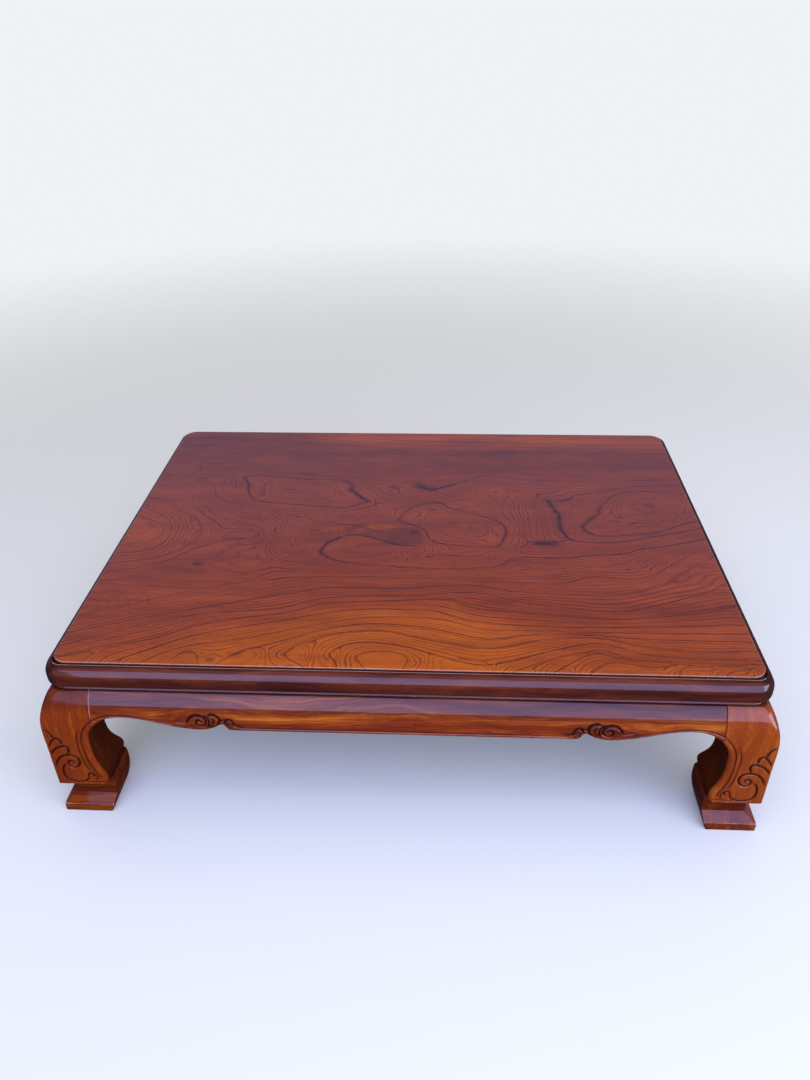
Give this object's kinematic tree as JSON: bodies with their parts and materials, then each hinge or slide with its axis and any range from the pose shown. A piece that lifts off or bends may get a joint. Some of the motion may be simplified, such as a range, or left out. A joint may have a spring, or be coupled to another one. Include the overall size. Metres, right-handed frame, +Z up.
{
  "type": "low floor table",
  "caption": "Low floor table with a figured, moulded top, bulged aprons with scrolled lower edges, hollowed square legs and plinth feet.",
  "frame": {"origin": "on the floor under the middle of the table", "axes": "+X along the length, +Z up, -Y to the front long side"},
  "size_m": [1.2528, 0.9488, 0.333],
  "materials": {
    "figured_veneer": "glossy clear lacquer over swirling figured veneer",
    "edge_wood": "glossy dark lacquer",
    "frame_wood": "glossy amber lacquer",
    "inner_wood": "plain sawn",
    "zinc_steel": "zinc plated"
  },
  "bodies": {
    "root": {"apron_back": "frame_wood", "apron_front": "frame_wood", "apron_left": "frame_wood", "apron_right": "frame_wood", "apron_screw_back_1": "zinc_steel", "apron_screw_back_2": "zinc_steel", "apron_screw_front_1": "zinc_steel", "apron_screw_front_2": "zinc_steel", "apron_screw_left_1": "zinc_steel", "apron_screw_left_2": "zinc_steel", "apron_screw_right_1": "zinc_steel", "apron_screw_right_2": "zinc_steel", "batten_left": "inner_wood", "batten_middle": "inner_wood", "batten_right": "inner_wood", "batten_screw_left_1": "zinc_steel", "batten_screw_left_2": "zinc_steel", "batten_screw_middle_1": "zinc_steel", "batten_screw_middle_2": "zinc_steel", "batten_screw_right_1": "zinc_steel", "batten_screw_right_2": "zinc_steel", "cleat_back": "inner_wood", "cleat_front": "inner_wood", "cleat_left": "inner_wood", "cleat_right": "inner_wood", "corner_brace_back_left": "inner_wood", "corner_brace_back_right": "inner_wood", "corner_brace_front_left": "inner_wood", "corner_brace_front_right": "inner_wood", "edge_back": "edge_wood", "edge_front": "edge_wood", "edge_left": "edge_wood", "edge_right": "edge_wood", "foot_back_left": "frame_wood", "foot_back_right": "frame_wood", "foot_dowel_back_left": "inner_wood", "foot_dowel_back_right": "inner_wood", "foot_dowel_front_left": "inner_wood", "foot_dowel_front_right": "inner_wood", "foot_front_left": "frame_wood", "foot_front_right": "frame_wood", "leg_back_left": "frame_wood", "leg_back_right": "frame_wood", "leg_bolt_back_left": "zinc_steel", "leg_bolt_back_right": "zinc_steel", "leg_bolt_front_left": "zinc_steel", "leg_bolt_front_right": "zinc_steel", "leg_front_left": "frame_wood", "leg_front_right": "frame_wood", "top_core": "inner_wood", "top_screw_back_1": "zinc_steel", "top_screw_back_2": "zinc_steel", "top_screw_front_1": "zinc_steel", "top_screw_front_2": "zinc_steel", "top_screw_left_1": "zinc_steel", "top_screw_left_2": "zinc_steel", "top_screw_right_1": "zinc_steel", "top_screw_right_2": "zinc_steel", "top_veneer": "figured_veneer"}
  },
  "joints": []
}
